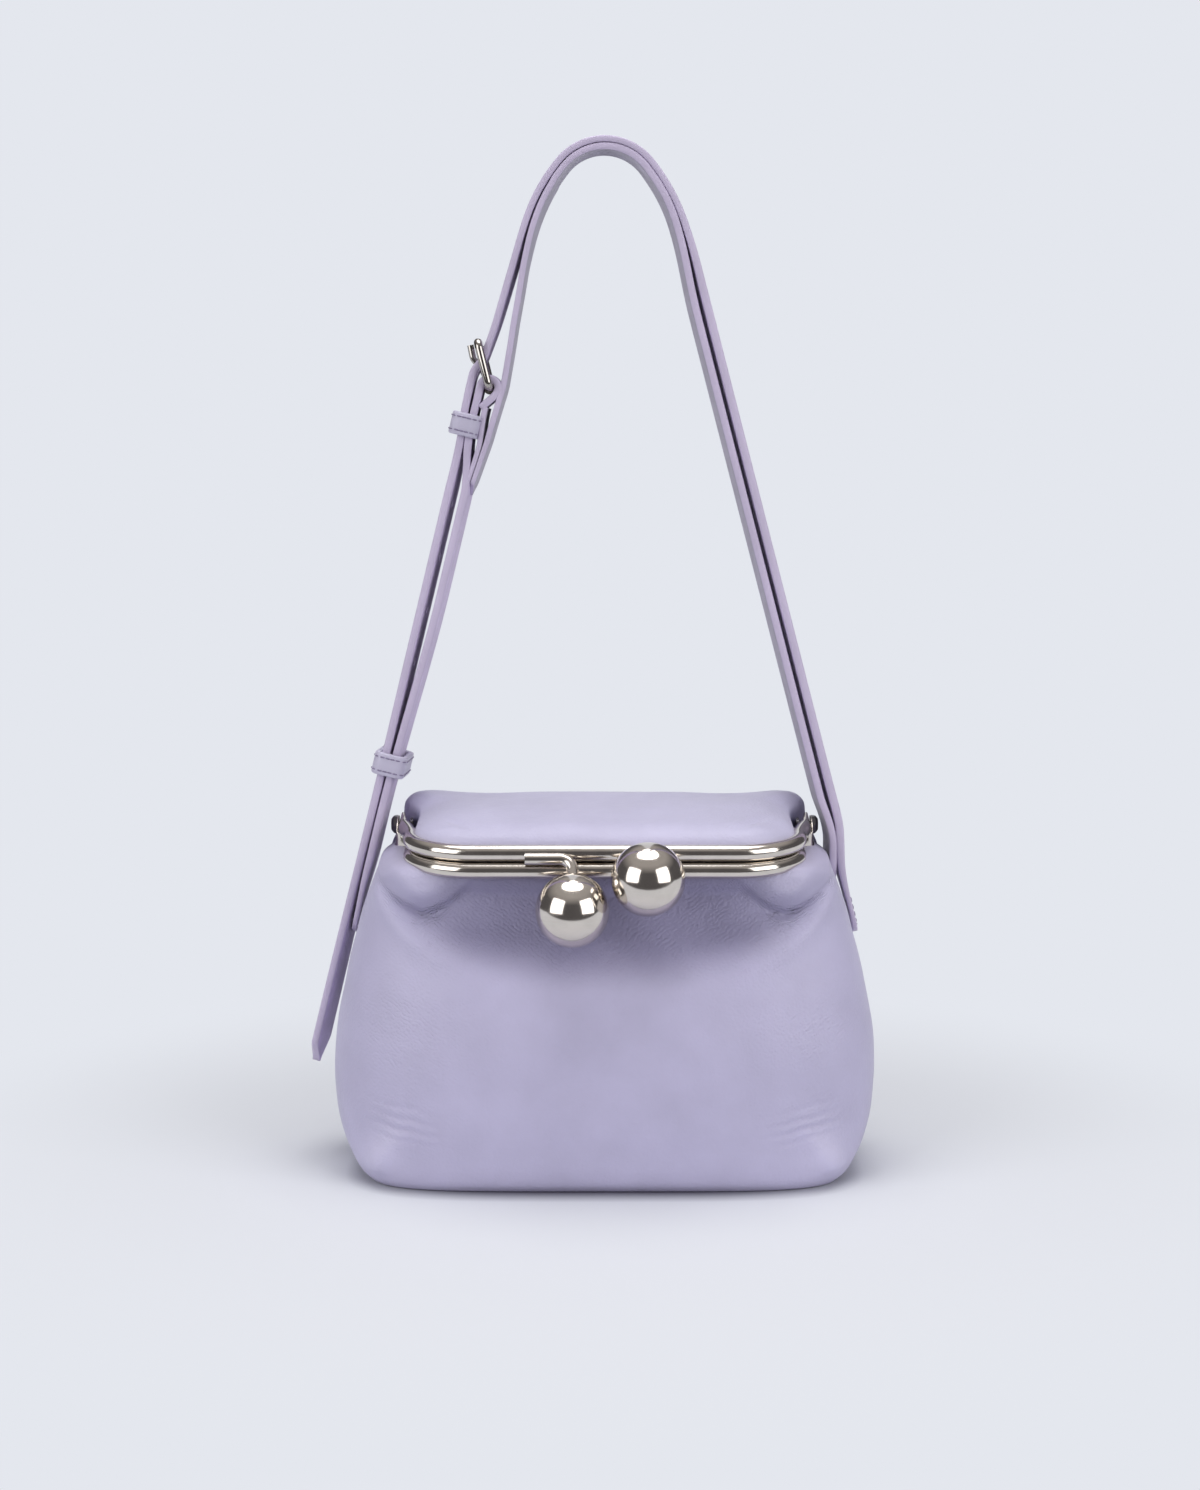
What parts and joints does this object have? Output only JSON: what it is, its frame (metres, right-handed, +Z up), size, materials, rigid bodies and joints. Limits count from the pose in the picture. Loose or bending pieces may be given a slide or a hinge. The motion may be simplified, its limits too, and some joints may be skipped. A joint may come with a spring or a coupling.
{
  "type": "kiss lock frame purse",
  "caption": "Leather handbag with a folding tube frame that opens like a lid, ball clasp, and an upright buckled shoulder strap.",
  "frame": {"origin": "middle of the flat base, on the surface it stands on", "axes": "+X to the viewer's right along the frame rails, +Y from the front to the back, +Z up"},
  "size_m": [0.2331, 0.1268, 0.4127],
  "materials": {
    "leather_body": "soft pebbled lavender leather",
    "leather_flap": "soft pebbled lavender leather, lit from above",
    "leather_strap": "lavender strap leather, smooth edge, suede back",
    "lining": "matt woven lining",
    "base_board": "stiff fibre board",
    "packing_cord": "twisted paper cord",
    "frame_metal": "polished nickel plate",
    "ball_metal": "satin polished nickel plate",
    "rivet_metal": "dark gunmetal",
    "buckle_metal": "polished nickel plate"
  },
  "bodies": {
    "bag_body": {"front_panel": "leather_body", "back_panel": "leather_body", "back_ridge": "leather_body", "left_gusset": "leather_body", "right_gusset": "leather_body", "base_panel": "leather_body", "base_board": "base_board", "lining": "lining", "lower_frame": "frame_metal", "lower_frame_cord": "packing_cord", "left_hinge_rivet": "rivet_metal", "right_hinge_rivet": "rivet_metal", "left_hinge_washer": "rivet_metal", "right_hinge_washer": "rivet_metal", "right_clasp_stem": "ball_metal", "right_clasp_ball": "ball_metal", "left_strap_tab": "leather_strap", "right_strap_tab": "leather_strap"},
    "lid": {"upper_frame": "frame_metal", "upper_frame_cord": "packing_cord", "top_flap": "leather_flap", "flap_lining": "lining", "left_clasp_stem": "ball_metal", "left_clasp_ball": "ball_metal"},
    "strap": {"long_strap": "leather_strap", "under_strap": "leather_strap", "buckle_strap": "leather_strap", "upper_keeper": "leather_strap"},
    "lower_keeper": {"lower_keeper": "leather_strap"},
    "buckle": {"buckle_frame": "buckle_metal"},
    "prong": {"buckle_prong": "buckle_metal"}
  },
  "joints": [
    {"name": "frame_open", "type": "hinge", "parent": "bag_body", "child": "lid", "pos_m": [0, 0.012, 0.1365], "axis": [-1, 0, 0], "range_deg": [0, 60]},
    {"name": "strap_swing", "type": "hinge", "parent": "bag_body", "child": "strap", "pos_m": [0, 0.016, 0.124], "axis": [-1, 0, 0], "range_deg": [-5, 78]},
    {"name": "keeper_slide", "type": "slide", "parent": "strap", "child": "lower_keeper", "axis": [0.2385, 0, 0.9711], "range_m": [-0.012, 0.012]},
    {"name": "buckle_tilt", "type": "hinge", "parent": "strap", "child": "buckle", "pos_m": [-0.04614, 0.016, 0.31346], "axis": [0, -1, 0], "range_deg": [-2, 4]},
    {"name": "prong_lift", "type": "hinge", "parent": "buckle", "child": "prong", "pos_m": [-0.04614, 0.016, 0.31346], "axis": [0, -1, 0], "range_deg": [0, 5]}
  ]
}
